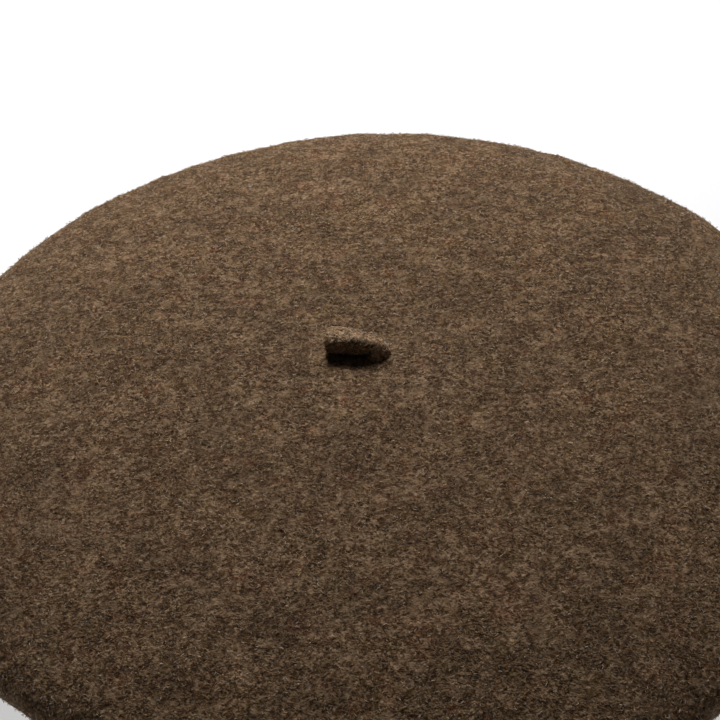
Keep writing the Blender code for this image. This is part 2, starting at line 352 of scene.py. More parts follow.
def heather_felt(name, painted_lightness=1.0):
    """Fulled wool: brown, dark, pale and russet fibres, matted in every direction. Its dark pits and the
    dark gaps between its fibres are painted shade, and an argument above one gives a lighter copy of the
    felt, a painted highlight.
    """
    s = Shader(name)
    tufts = s.noise(440.0, 2.0, 0.60, s.shifted(0.21), warp=0.30)
    mottle = s.noise(760.0, 3.0, 0.62)
    fine = s.noise(2100.0, 2.0, 0.6)
    cloud = s.noise(60.0, 3.0, 0.55)
    blotch = s.noise(250.0, 2.0, 0.6, s.shifted(0.45))
    patches = s.band(s.noise(175.0, 2.0, 0.6, s.shifted(0.33)), 0.40, 0.62, 0.24, 0.84)
    # The low ends of these specks are painted shade, dark pits between the fibres; their high ends are
    # pale fibres.
    specks = s.noise(980.0, 1.0, 0.5, s.shifted(0.67), warp=0.25)
    pale = s.threads(520.0, 0.060, 0.113, 0.40)
    pale_fine = s.threads(980.0, 0.075, 0.271, 0.35)
    # Painted shade: dark curly threads for the shaded gaps between fibres, also sunk in the bump.
    dark = s.threads(640.0, 0.066, 0.377, 0.40)
    colour = s.mix(s.band(mottle, 0.39, 0.58), FELT_DARK, FELT_MIDDLE)
    for mask, weight, over in (
        (s.band(fine, 0.42, 0.72), 0.42, FELT_PALE),
        (s.band(s.noise(120.0, 3.0, 0.6, s.shifted(0.5)), 0.52, 0.64), 0.55, FELT_RUSSET),
        (s.band(s.noise(140.0, 3.0, 0.6, s.shifted(0.9)), 0.50, 0.64), 0.45, FELT_OLIVE),
        (s.band(tufts, 0.53, 0.64), 0.46, FELT_PALE),
        (s.band(tufts, 0.475, 0.38), 0.50, FELT_DARK),
        (s.band(specks, 0.54, 0.66), patches, FELT_PALE),
        (s.band(specks, 0.44, 0.34), 0.66, FELT_DARK),
        (s.band(blotch, 0.53, 0.64), 0.30, FELT_PALE),
        (s.band(blotch, 0.47, 0.37), 0.42, FELT_DARK),
        (dark, 0.42, FELT_DARK),
        (pale_fine, 0.30, FELT_PALE),
        (pale, 0.40, FELT_PALE),
    ):
        colour = s.mix(s.times(mask, weight), colour, over)
    # An argument above one makes a lighter copy of the felt: a painted highlight.
    tone = s.band(cloud, 0.30, 0.72, 0.82 * painted_lightness, 1.18 * painted_lightness)
    grey = s.node("ShaderNodeCombineColor", {0: tone, 1: tone, 2: tone}).outputs[0]
    colour = s.mix(1.0, colour, grey, "MULTIPLY")
    height = s.times(mottle, 0.9)
    for part, weight in ((pale, 0.35), (tufts, 1.2), (pale_fine, 0.22), (dark, -0.30), (fine, 0.35)):
        height = s.math("ADD", height, s.times(part, weight))
    return s.set(
        Base_Color=colour,
        Roughness=s.band(mottle, 0.3, 0.7, 0.98, 0.86),
        Specular_IOR_Level=0.12,
        Sheen_Weight=0.22,
        Sheen_Roughness=0.55,
        Sheen_Tint=(0.62, 0.50, 0.38, 1.0),
        Normal=s.bump(height, 0.50 * MM),
    )


def wool_fibre(name, colour):
    """One dyed wool fibre's colour. The nap mixes several of these."""
    s = Shader(name)
    s.set(Roughness=0.75, Specular_IOR_Level=0.2, Subsurface_Weight=0.9, Subsurface_Scale=0.35 * MM)
    return s.set(Subsurface_Radius=(1.0, 0.8, 0.6), Base_Color=(*colour, 1.0))


def leather():
    s = Shader("sweatband_leather")
    grain = {"Vector": s.place, "Scale": 1150.0}
    cells = s.node("ShaderNodeTexVoronoi", grain, feature="DISTANCE_TO_EDGE")
    creases = s.band(cells.outputs["Distance"], 0.0, 0.16)
    stain = s.noise(60.0, 4.0, 0.6)
    pores = s.noise(2600.0)
    colour = s.mix(s.band(stain, 0.3, 0.7), (0.105, 0.046, 0.018), (0.185, 0.090, 0.038))
    colour = s.mix(s.band(creases, 0.0, 1.0, 0.45, 0.0), colour, (0.040, 0.017, 0.008))
    height = s.math("ADD", creases, s.times(pores, 0.35))
    return s.set(
        Base_Color=colour,
        Roughness=s.band(stain, 0.3, 0.7, 0.58, 0.42),
        Specular_IOR_Level=0.4,
        Normal=s.bump(height, 0.12 * MM),
    )


def satin():
    """Dark brown lining: a fine weave with long floats that catch the light."""
    s = Shader("lining_satin")
    weave = s.ribs("X", 900.0, 0.6, detail=1.0)
    slub = s.noise(300.0, 3.0, 0.6)
    tone = s.noise(28.0)
    colour = s.mix(s.band(tone, 0.3, 0.7), (0.040, 0.024, 0.014), (0.062, 0.039, 0.024))
    colour = s.mix(s.times(s.band(slub, 0.5, 0.75), 0.4), colour, (0.090, 0.060, 0.038))
    height = s.math("ADD", weave, s.times(slub, 0.5))
    return s.set(
        Base_Color=colour,
        Roughness=s.band(slub, 0.3, 0.7, 0.30, 0.44),
        Specular_IOR_Level=0.55,
        Anisotropic=0.4,
        Sheen_Weight=0.25,
        Normal=s.bump(height, 0.05 * MM, 0.6),
    )


def thread(name, colour, scale=1600.0):
    """Spun yarn: fine twisted strands with lighter and darker fibres."""
    s = Shader(name)
    strands = s.noise(scale, 3.0, 0.65, warp=0.4)
    lighter = tuple(min(1.0, 1.9 * c) for c in colour)
    darker = tuple(0.5 * c for c in colour)
    base = s.mix(s.band(strands, 0.32, 0.68), darker, lighter)
    return s.set(
        Base_Color=base,
        Roughness=s.band(strands, 0.3, 0.7, 0.72, 0.55),
        Specular_IOR_Level=0.3,
        Sheen_Weight=0.3,
        Normal=s.bump(strands, 0.12 * MM),
    )


def grosgrain(name, axis):
    """Dark brown ribbon with fine ribs across it. It runs along an axis."""
    s = Shader(name)
    ribs = s.ribs(axis, 620.0, 0.2)
    wear = s.noise(900.0)
    colour = s.mix(ribs, (0.020, 0.012, 0.008), (0.058, 0.036, 0.023))
    colour = s.mix(s.times(s.band(wear, 0.55, 0.75), 0.5), colour, (0.100, 0.066, 0.044))
    return s.set(
        Base_Color=colour,
        Roughness=s.band(ribs, 0.0, 1.0, 0.6, 0.42),
        Specular_IOR_Level=0.4,
        Sheen_Weight=0.25,
        Normal=s.bump(ribs, 0.08 * MM),
    )


def woven_tape():
    """Blank cream tape, woven from fine warp and weft."""
    s = Shader("woven_label_tape")
    cloth = s.times(s.ribs("X", 700.0, 0.3), s.ribs("Z", 520.0, 0.3))
    grime = s.noise(160.0, 3.0, 0.6)
    colour = s.mix(s.band(cloth, 0.0, 0.7), (0.42, 0.37, 0.28), (0.66, 0.61, 0.51))
    colour = s.mix(s.band(grime, 0.45, 0.75, 0.0, 0.35), colour, (0.40, 0.33, 0.24))
    return s.set(
        Base_Color=colour,
        Roughness=s.band(cloth, 0.0, 1.0, 0.75, 0.6),
        Specular_IOR_Level=0.3,
        Sheen_Weight=0.2,
        Normal=s.bump(cloth, 0.07 * MM),
    )


# ---- Felt


def quarter(count):
    return np.linspace(0.0, math.pi / 2, count)


def felt_outline():
    """The felt's outer side, from the crown's middle to its cut edge, evenly spaced."""
    a = quarter(500)
    crown_r = CROWN_RADIUS * np.sin(a) ** (2 / CROWN_SQUARENESS)
    crown_z = RIM_HEIGHT + (CROWN_TOP - RIM_HEIGHT) * np.clip(np.cos(a), 0, 1) ** (2 / CROWN_SHOULDER)
    seat = OPENING_RADIUS + SEAT_WIDTH
    brim_r = seat + (CROWN_RADIUS - seat) * np.clip(np.cos(a), 0, 1) ** (2 / BRIM_SQUARENESS)
    brim_z = RIM_HEIGHT * (1 - np.sin(a) ** (2 / BRIM_SQUARENESS))
    radius = np.concatenate([crown_r, brim_r[1:], [OPENING_RADIUS + 0.5 * MM]])
    height = np.concatenate([crown_z, brim_z[1:], [0.0]])
    return radius, height


def resampled(radius, height, count):
    """An outline as evenly spaced (radius, height) pairs."""
    run = np.concatenate([[0], np.cumsum(np.hypot(np.diff(radius), np.diff(height)))])
    at = np.linspace(0, run[-1], count)
    return np.stack([np.interp(at, run, radius), np.interp(at, run, height)], -1)


def out_of_round(turn):
    """How far the rim stands outside a true circle, by bearing. The near right is a guess."""
    bearings = (-180, -130, -90, -50, -10, 20, 60, 100, 140, 180)
    spread = (-1.1, -1.9, 0.4, 5.4, 1.6, -0.2, 0.0, -1.1, -1.3, -1.2)
    soft = sum(
        np.interp(np.degrees(turn) + shift, bearings, spread, period=360)
        for shift in (-20, -10, 0, 10, 20)
    )
    return soft / 5 * MM


def as_blocked(points, top):
    """The points moved out or in with the felt beside them, where it isn't a true circle."""
    radius = np.hypot(points[..., 0], points[..., 1])
    on_crown, on_brim = smoothstep(radius, 40 * MM, 125 * MM), smoothstep(radius, 98 * MM, 132 * MM)
    reach = np.where(top, on_crown, on_brim)
    spread = out_of_round(np.arctan2(points[..., 1], points[..., 0])) * reach
    moved = points.copy()
    moved[..., :2] *= (1 + spread / np.maximum(radius, MM))[..., None]
    return moved


def felt_grid(rows):
    """The outer side as it lies: gently uneven, and drawn up round the stalk's root."""
    grid = turned_grid(resampled(*felt_outline(), rows), AROUND)
    normal = normals_of(grid)
    radius = np.hypot(grid[..., 0], grid[..., 1])
    above = smoothstep(grid[..., 2], 2.0 * MM, 12.0 * MM)
    inner = smoothstep(radius, 60.0 * MM, 10.0 * MM) * 0.6 + 0.4
    broad = waves(grid, 95.0 * MM, 7, 11) * 0.42 * MM
    small = waves(grid, 24.0 * MM, 14, 12) * 0.10 * MM
    lift = (broad * inner + small) * above
    rim = np.exp(-(((grid[..., 2] - RIM_HEIGHT) / (9.0 * MM)) ** 2))
    lift += rim * waves(grid, 60.0 * MM, 9, 13) * 0.28 * MM * above
    lift += rim * (waves(grid, 13.0 * MM, 16, 14) * 0.13 * MM + waves(grid, 6.0 * MM, 16, 15) * 0.05 * MM)
    grid = as_blocked(grid, normal[..., 2] > 0)
    off = np.hypot(grid[..., 0] - STALK_PIVOT.x - 0.3 * MM, grid[..., 1] - STALK_PIVOT.y)
    is_top = normal[..., 2] > 0.5
    lift *= np.where(is_top, smoothstep(off, 4.0 * MM, 30.0 * MM) * 0.8 + 0.2, 1.0)
    lift += is_top * 0.5 * MM * np.exp(-((off / (4.2 * MM)) ** 2))
    lift -= is_top * 0.35 * MM * np.exp(-(((off - 9.0 * MM) / (4.5 * MM)) ** 2))
    return grid + normal * lift[..., None], normal


def make_felt_body(felt):
    """The one-piece shell: outer side, cut edge round the opening, and inner side."""
    outer, normal = felt_grid(FELT_ROWS)
    rows = list(range(0, FELT_ROWS, 3))
    inner = outer[rows] - normal[rows] * FELT
    edge = []
    for share in (0.12, 0.3, 0.5, 0.7, 0.88):
        swell = math.sin(math.pi * share) * 0.45 * MM
        row = outer[-1] * (1 - share) + inner[-1] * share
        flat = row * np.array([1, 1, 0])
        edge.append(row - unit(flat) * swell)
    grid = np.concatenate([outer, np.array(edge), inner[::-1]])
    body = mesh_object("felt_shell", *capped_grid(grid), felt)
    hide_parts("felt_body")
    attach(body, "hat")
    return outer, normals_of(outer)


FIBRE_COLOURS = (
    ("pale_fibre", (0.500, 0.372, 0.268), 0.15),
    ("taupe_fibre", (0.180, 0.103, 0.050), 0.22),
    ("brown_fibre", (0.080, 0.034, 0.0100), 0.38),
    ("russet_fibre", (0.130, 0.038, 0.014), 0.11),
    ("dark_fibre", (0.026, 0.0100, 0.0026), 0.14),
)
FIBRE_SHARES = [share for _, _, share in FIBRE_COLOURS]
# A paler fibre mix for the stalk and the rim fuzz: painted highlight for the stalk's backlit top and the
# backlit rim.
PAINTED_HIGHLIGHT_SHARES = [0.34, 0.36, 0.20, 0.04, 0.06]


def fibre_mesh(name, place, normal, heading, length, radius, bend, rise, tip_rise, shares=FIBRE_SHARES):
    """Fine closed spindles, each bent over the surface. Each array has one row a fibre."""
    side = np.cross(normal, heading)
    path = []
    for t in (0.0, 0.34, 0.68, 1.0):
        arch = 4 * t * (1 - t)
        path.append(
            place
            + heading * ((t - 0.5) * length)[:, None]
            + side * (bend * arch)[:, None]
            + normal * (rise * arch + tip_rise * t * t - 0.10 * MM)[:, None]
        )
    path = np.stack(path, 1)
    along = unit(path[:, 2] - path[:, 1])
    across = unit(np.cross(along, normal))
    up = np.cross(across, along)
    corners = [path[:, 0]]
    for station, share in ((1, 1.0), (2, 0.8)):
        for turn in range(3):
            a = math.tau * turn / 3
            out = across * math.cos(a) + up * math.sin(a)
            corners.append(path[:, station] + out * (radius * share)[:, None])
    corners.append(path[:, 3])
    points = np.stack(corners, 1).reshape(-1, 3)
    triangles = [(0, 2, 1), (0, 3, 2), (0, 1, 3), (7, 4, 5), (7, 5, 6), (7, 6, 4)]
    for a, b in ((1, 2), (2, 3), (3, 1)):
        triangles += [(a, b, b + 3), (a, b + 3, a + 3)]
    count = len(place)
    faces = (np.array(triangles)[None] + 8 * np.arange(count)[:, None, None]).reshape(-1, 3)
    points[:, 2] = np.maximum(points[:, 2], 0.03 * MM)
    obj = mesh_object(name, points, [faces], fibre_materials)
    worn = rng.choice(len(FIBRE_COLOURS), count, p=np.array(shares) / sum(shares))
    obj.data.polygons.foreach_set("material_index", worn.repeat(len(triangles)).astype(np.int32))
    return obj


def scattered(grid, normal, count, low=0.0, high=1.0):
    """Random places on a turned grid, evenly by area, between two shares of its rows."""
    rows, columns, _ = grid.shape
    first, last = int(low * (rows - 1)), int(high * (rows - 1))
    ring = np.linalg.norm(grid[:, 0, :2], axis=-1)
    run = np.linalg.norm(np.diff(grid[:, 0], axis=0), axis=-1)
    area = (ring[:-1] + ring[1:])[first:last] * run[first:last]
    row = rng.choice(np.arange(first, last), count, p=area / area.sum()) + rng.random(count)
    column = rng.random(count) * columns
    i, j = np.floor(row).astype(int), np.floor(column).astype(int) % columns
    u, v = (row - np.floor(row))[:, None], (column - np.floor(column))[:, None]
    below, beside = np.minimum(i + 1, rows - 1), (j + 1) % columns
    place, facing = [
        (1 - u) * ((1 - v) * g[i, j] + v * g[i, beside])
        + u * ((1 - v) * g[below, j] + v * g[below, beside])
        for g in (grid, normal)
    ]
    return place, unit(facing)


def headings(facing):
    """A random direction along the surface at each place."""
    any_way = rng.normal(size=facing.shape)
    return unit(any_way - facing * (any_way * facing).sum(1, keepdims=True))


def halo(grid, normal, count, low, high):
    """The fine fuzz standing off the rim. The fuzz is real, and its paler fibre mix is a painted highlight
    for a backlit rim.
    """
    place, facing = scattered(grid, normal, count, low, high)
    long = rng.uniform(0.3, 1.2, count) * MM
    tip = rng.uniform(0.35, 1.30, count) * MM
    arch = rng.uniform(0.05, 0.25, count) * MM
    thick = rng.uniform(0.016, 0.034, count) * MM
    bend = rng.normal(0, 0.3, count) * long
    heading = headings(facing)
    obj = fibre_mesh("rim_fuzz", place, facing, heading, long, thick, bend, arch, tip, PAINTED_HIGHLIGHT_SHARES)
    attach(obj, "hat")


def nap(name, grid, normal, count, low, high):
    """A layer of wool fibres over a stretch of felt: most lie in low loops, and some stand proud."""
    place, facing = scattered(grid, normal, count, low, high)
    heading = headings(facing)
    long = rng.uniform(0.5, 1.8, count) * MM
    stands = rng.random(count) < 0.50
    arch = rng.uniform(0.08, 0.44, count) * MM
    tip = np.where(stands, rng.uniform(0.15, 1.05, count), 0.0) * MM
    thick = rng.uniform(0.040, 0.110, count) * MM
    bend = rng.normal(0, 0.38, count) * long
    obj = fibre_mesh(name, place, facing, heading, long, thick, bend, arch, tip)
    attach(obj, "hat")


# ---- Stalk


def stalk_path(rows):
    """The stalk's middle line, from inside the crown up and over to its tip, and how far along it is."""
    flat = math.sin(STALK_LEAN)
    way = Vector((-math.cos(STALK_TURN) * flat, math.sin(STALK_TURN) * flat, math.cos(STALK_LEAN)))
    pivot = np.array(STALK_PIVOT)
    foot = pivot + np.array((-0.4, -0.4, -4.3)) * MM
    up = pivot + np.array((0.1, -0.4, 1.2)) * MM
    over = pivot + np.array(way) * 4.2 * MM + np.array((0, -0.4, 0.10)) * MM
    tip = pivot + np.array(way) * STALK_REACH + np.array((0, -0.4, -0.10)) * MM
    t = np.linspace(0, 1, rows)
    turn = 0.38
    bend = np.clip(t / turn, 0, 1)[:, None]
    first = (1 - bend) ** 2 * foot + 2 * bend * (1 - bend) * up + bend**2 * over
    straight = np.clip((t - turn) / (1 - turn), 0, 1)[:, None]
    path = first + straight * (tip - over)
    path[:, 2] += 0.20 * MM * np.sin(straight[:, 0] * math.pi)
    path[:, 1] += 0.20 * MM * np.sin(straight[:, 0] * 4.0)
    return path, t


def stalk_grid_points(rows, columns):
    """The stalk's skin: round at its root, and a rounded square further out, deeper than it is tall."""
    path, t = stalk_path(rows)
    along = unit(np.gradient(path, axis=0))
    side = unit(np.array([0.0, 1.0, 0.0]) - along * along[:, 1:2])
    up = np.cross(side, along)
    free = smoothstep(t, 0.25, 0.60)
    roll = math.radians(4) * free
    side, up = (
        side * np.cos(roll)[:, None] - up * np.sin(roll)[:, None],
        up * np.cos(roll)[:, None] + side * np.sin(roll)[:, None],
    )
    flare = 1.2 * MM * np.exp(-((t / 0.12) ** 2))
    half_depth = 3.00 * MM + flare + 0.55 * MM * free
    half_height = 2.85 * MM + flare + 0.20 * MM * free
    power = 2 / (2.2 + 1.0 * free)
    a = math.tau * np.arange(columns) / columns
    c = np.sign(np.cos(a)) * np.abs(np.cos(a)) ** power[:, None]
    s = np.sign(np.sin(a)) * np.abs(np.sin(a)) ** power[:, None]
    ring = side[:, None] * (half_depth[:, None] * c)[..., None]
    ring = ring + up[:, None] * (half_height[:, None] * s)[..., None]
    return path, along, ring


def make_stalk(felt):
    rows, columns = 90, 72
    path, along, ring = stalk_grid_points(rows, columns)
    end = []
    for share in (0.25, 0.5, 0.75, 0.93, 1.0):
        angle = share * math.pi / 2
        scale = 1 - 0.30 * (1 - math.cos(angle))
        end.append(path[-1] + along[-1] * 0.8 * MM * math.sin(angle) + ring[-1] * scale)
    for scale, dome in ((0.45, 0.12), (0.2, 0.18), (0.0, 0.2)):
        end.append(path[-1] + along[-1] * (0.8 + dome) * MM + ring[-1] * scale)
    start = path[0][None, None].repeat(columns, 1)
    grid = np.concatenate([start, path[:, None] + ring, np.array(end)])
    middle = np.concatenate([path[:1], path, path[-1:].repeat(len(end), 0)])
    outwards = grid - middle[:, None]
    outwards /= np.maximum(np.linalg.norm(outwards, axis=-1, keepdims=True), 1e-9)
    lumps = waves(grid, 7.5 * MM, 8, 31) * 0.12 * MM + waves(grid, 3.0 * MM, 10, 32) * 0.05 * MM
    lumps[0] = 0
    lumps[-1] = lumps[-1].mean()
    grid = grid + outwards * lumps[..., None]
    stalk = mesh_object("felt_stalk", *capped_grid(grid), felt)
    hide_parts("stalk")
    bends_with_root(stalk)
    usable = slice(8, rows + 6)
    return grid[usable], outwards[usable]


def bends_with_root(piece):
    """Bakes the piece's placement into its mesh."""
    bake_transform(piece)


def scattered_on_tube(grid, facing, count):
    rows, columns, _ = grid.shape
    row, column = rng.random(count) * (rows - 1), rng.random(count) * columns
    i, j = np.floor(row).astype(int), np.floor(column).astype(int) % columns
    u = (row - i)[:, None]
    place = (1 - u) * grid[i, j] + u * grid[i + 1, j]
    normal = (1 - u) * facing[i, j] + u * facing[i + 1, j]
    return place, unit(normal)


def make_stalk_nap(grid, facing, count):
    place, normal = scattered_on_tube(grid, facing, count)
    heading = headings(normal)
    long = rng.uniform(0.8, 2.2, count) * MM
    tip = np.where(rng.random(count) < 0.35, rng.uniform(0.15, 0.65, count), 0.0) * MM
    arch = rng.uniform(0.08, 0.22, count) * MM
    thick = rng.uniform(0.030, 0.090, count) * MM
    bend = rng.normal(0, 0.32, count) * long
    # The stalk's nap takes the paler fibre mix: painted highlight.
    obj = fibre_mesh("stalk_nap", place, normal, heading, long, thick, bend, arch, tip, PAINTED_HIGHLIGHT_SHARES)
    bends_with_root(obj)


# ---- Lining


def turned_sheet(outer, thickness, poled):
    """A thin closed sheet from its outer grid, which runs from the middle outwards."""
    inner = outer - normals_of(outer) * thickness
    grid = np.concatenate([outer, inner[::-1]])
    if poled:
        return capped_grid(grid)
    rows, columns, _ = grid.shape
    return grid.reshape(-1, 3), [grid_faces(rows, columns, closed_rows=True)]


def gathers(grid, counts, seed):
    """Folds that run along the radius, of unit depth, uneven round the ring."""
    turn = np.arctan2(grid[..., 1], grid[..., 0])
    source = np.random.default_rng(seed)
    total = sum(np.sin(k * turn + source.uniform(0, math.tau)) for k in counts)
    return total / len(counts)


def make_crown_lining(satin_cloth):
    """The lining's round panel. It hangs a little slack and is eased in at its seam."""
    a = quarter(90)
    edge = RIM_HEIGHT + 1.0 * MM
    rise = lining_high.z - 0.15 * MM - edge
    radius = LINING_RADIUS * np.sin(a) ** (2 / CROWN_SQUARENESS)
    height = edge + rise * np.clip(np.cos(a), 0, 1) ** (2 / CROWN_SHOULDER)
    grid = turned_grid(resampled(radius, height, 90), FINE_COLUMNS)
    out = np.hypot(grid[..., 0], grid[..., 1]) / LINING_RADIUS
    fold = gathers(grid, (57, 71, 88, 113), 41) * 0.55 * MM * smoothstep(out, 0.62, 0.96)
    slack = waves(grid, 70.0 * MM, 8, 42) * 0.22 * MM + waves(grid, 26.0 * MM, 10, 43) * 0.08 * MM
    drop = fold + slack * smoothstep(1.05 - out, 0.0, 0.3)
    drop -= 0.60 * MM * smoothstep(1.08 - out, 0.0, 0.2)
    grid = grid + normals_of(grid) * drop[..., None]
    points, faces = turned_sheet(grid, LINING, poled=True)
    cloth = mesh_object("satin_crown_panel", as_blocked(points, True), faces, satin_cloth)
    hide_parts("crown_lining")
    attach(cloth, "hat")


def make_brim_lining(satin_cloth):
    """The lining's ring, gathered in to the head opening."""
    foot = 95.3 * MM
    foot_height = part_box("brim_lining")[0].z + 0.25 * MM
    edge = RIM_HEIGHT - 1.0 * MM
    a = quarter(60)
    radius = foot + (LINING_RADIUS - foot) * np.clip(np.cos(a), 0, 1) ** (2 / BRIM_SQUARENESS)
    height = edge - (edge - foot_height) * np.sin(a) ** (2 / BRIM_SQUARENESS)
    grid = turned_grid(resampled(radius, height, 50), FINE_COLUMNS)
    out = (np.hypot(grid[..., 0], grid[..., 1]) - foot) / (LINING_RADIUS - foot)
    fold = gathers(grid, (61, 83, 97, 131), 45) * 0.30 * MM
    drop = fold * (0.35 + 0.65 * smoothstep(1 - out, 0.5, 1.0)) - 0.22 * MM
    grid = grid + normals_of(grid) * drop[..., None]
    points, faces = turned_sheet(grid, LINING, poled=False)
    cloth = mesh_object("satin_brim_ring", as_blocked(points, False), faces, satin_cloth)
    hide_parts("brim_lining")
    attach(cloth, "hat")


# ---- Sewing


def stitches(ends, inward, radius, arch, sides=8, stations=7):
    """Thread stitches between pairs of points, each arched inwards and pulled tight at both ends."""
    t = np.linspace(0, 1, stations + 2)
    grid = np.zeros((stations + 2, sides, 3))
    turn = math.tau * np.arange(sides) / sides
    wide = radius * np.clip(np.sin(math.pi * t), 0, 1) ** 0.35
    grid[..., 0] = t[:, None]
    grid[..., 1] = wide[:, None] * np.cos(turn)
    grid[..., 2] = wide[:, None] * np.sin(turn) + (arch * np.sin(math.pi * t))[:, None]
    points, faces = capped_grid(grid)
    matrices = []
    for (a, b), way in zip(ends, inward):
        along = b - a
        side = np.cross(way, along)
        side /= np.linalg.norm(side)
        up = np.cross(along, side)
        up /= np.linalg.norm(up)
        matrix = np.eye(4)
        matrix[:3, 0], matrix[:3, 1], matrix[:3, 2], matrix[:3, 3] = along, side, up, a
        matrices.append(matrix)
    return repeated(points, faces, matrices)


def ring_points(radius, height, count):
    return polar(radius, math.tau * np.arange(count) / count, height)


def towards_middle(points):
    return -unit(points * np.array([1.0, 1.0, 0.0]))


def make_lining_seam(sewing):
    """Backstitches that join the two lining panels."""
    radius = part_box("lining_seam")[1].x - 0.45 * MM
    points = ring_points(radius, RIM_HEIGHT, 261)[:-1]
    ahead = np.roll(points, -1, 0)
    ends = [(a, a + (b - a) * 0.86) for a, b in zip(points, ahead)]
    points, faces = stitches(ends, towards_middle(points), 0.27 * MM, 0.10 * MM)
    seam = mesh_object("lining_backstitch", as_blocked(points, True), faces, sewing)
    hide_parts("lining_seam")
    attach(seam, "hat")


def make_band_stitching(sewing):
    """The zigzag that sews the sweatband's foot to the felt."""
    low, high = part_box("band_stitching")
    radius = BAND_INSIDE - 0.20 * MM
    count = 240
    points = ring_points(radius, 0.0, count)
    points[:, 2] = np.where(np.arange(count) % 2, high.z - 0.35 * MM, low.z + 0.35 * MM)
    points[:, 2] += rng.normal(0, 0.05 * MM, count)
    ahead = np.roll(points, -1, 0)
    inward = towards_middle(points)
    sewn = stitches(list(zip(points, ahead)), inward, 0.17 * MM, 0.16 * MM)
    zigzag = mesh_object("zigzag_stitches", *sewn, sewing)
    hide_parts("band_stitching")
    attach(zigzag, "hat")


def make_drawstring(cotton):
    """Three twisted strands, in the channel behind the sweatband's foot."""
    low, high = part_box("drawstring")
    middle_radius, middle_height = high.x - 0.8 * MM, (low.z + high.z) / 2
    turns, each = 110, 9
    parts = []
    a = math.tau * np.arange(turns * each) / (turns * each)
    for strand in range(3):
        lay = turns * a + math.tau * strand / 3
        radius = middle_radius + 0.38 * MM * np.cos(lay)
        height = middle_height + 0.33 * MM * np.sin(lay)
        parts.append(tube_parts(polar(radius, a, height), 0.36 * MM, 6))
    cord = mesh_object("twisted_drawstring", *joined(parts), cotton)
    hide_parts("drawstring")
    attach(cord, "hat")


def make_stalk_tack(sewing):
    """The coil of thread under the crown that ties the stalk down."""
    low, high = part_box("stalk_tack")
    middle = (low + high) / 2
    parts = []
    for layer, height in enumerate((0.28, -0.28)):
        t = np.linspace(0, 1, 150)
        a = math.tau * 5.0 * t * (1 if layer else -1)
        radius = (0.5 + 2.6 * t) * MM
        x, y = middle.x + radius * np.cos(a), middle.y + radius * np.sin(a)
        path = np.stack([x, y, np.full(150, middle.z + height * MM)], -1)
        parts.append(tube_parts(path, 0.26 * MM, 8, closed=False))
    for turn in range(6):
        a = math.tau * turn / 6
        t = np.linspace(-1, 1, 9)
        x, y = middle.x + 3.0 * MM * t * math.cos(a), middle.y + 3.0 * MM * t * math.sin(a)
        path = np.stack([x, y, middle.z - (0.50 + 0.06 * np.cos(t)) * MM], -1)
        parts.append(tube_parts(path, 0.10 * MM, 6, closed=False))
    coil = mesh_object("tack_coil", *joined(parts), sewing)
    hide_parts("stalk_tack")
    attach(coil, "hat")


# ---- Sweatband, bow and label


def make_sweatband(hide):
    """A leather strip that stands inside the opening, its top edge a little uneven."""
    low, high = band_low.z + 0.1 * MM, band_high.z - 0.15 * MM
    ease = 0.32 * MM
    up = np.linspace(low + ease, high - ease, 26)
    middle = BAND_OUTSIDE - BAND_THICKNESS / 2
    outer, inner = BAND_OUTSIDE - ease * 0.4, BAND_INSIDE + ease * 0.4
    top, foot = high - ease * 0.2, low + ease * 0.2
    outline = [(BAND_OUTSIDE, z) for z in up] + [(outer, top), (middle, high), (inner, top)]
    outline += [(BAND_INSIDE, z) for z in up[::-1]] + [(inner, foot), (middle, low), (outer, foot)]
    grid = turned_grid(outline, FINE_COLUMNS)
    share = (grid[..., 2] - low) / (high - low)
    turn = np.arctan2(grid[..., 1], grid[..., 0])
    wave = np.sin(5 * turn + 0.6) * 0.5 + np.sin(11 * turn + 2.0) * 0.35 + np.sin(23 * turn) * 0.15
    grid[..., 2] -= (0.16 + 0.16 * wave) * MM * smoothstep(share, 0.55, 1.0)
    tool = np.exp(-(((share - 0.87) / 0.028) ** 2)) * 0.14 * MM
    inside = np.hypot(grid[..., 0], grid[..., 1]) < middle
    grid -= towards_middle(grid) * (tool * inside)[..., None]
    faces = grid_faces(len(outline), FINE_COLUMNS, closed_rows=True)
    band = mesh_object("leather_sweatband", grid.reshape(-1, 3), [faces], hide)
    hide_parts("sweatband")
    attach(band, "hat")


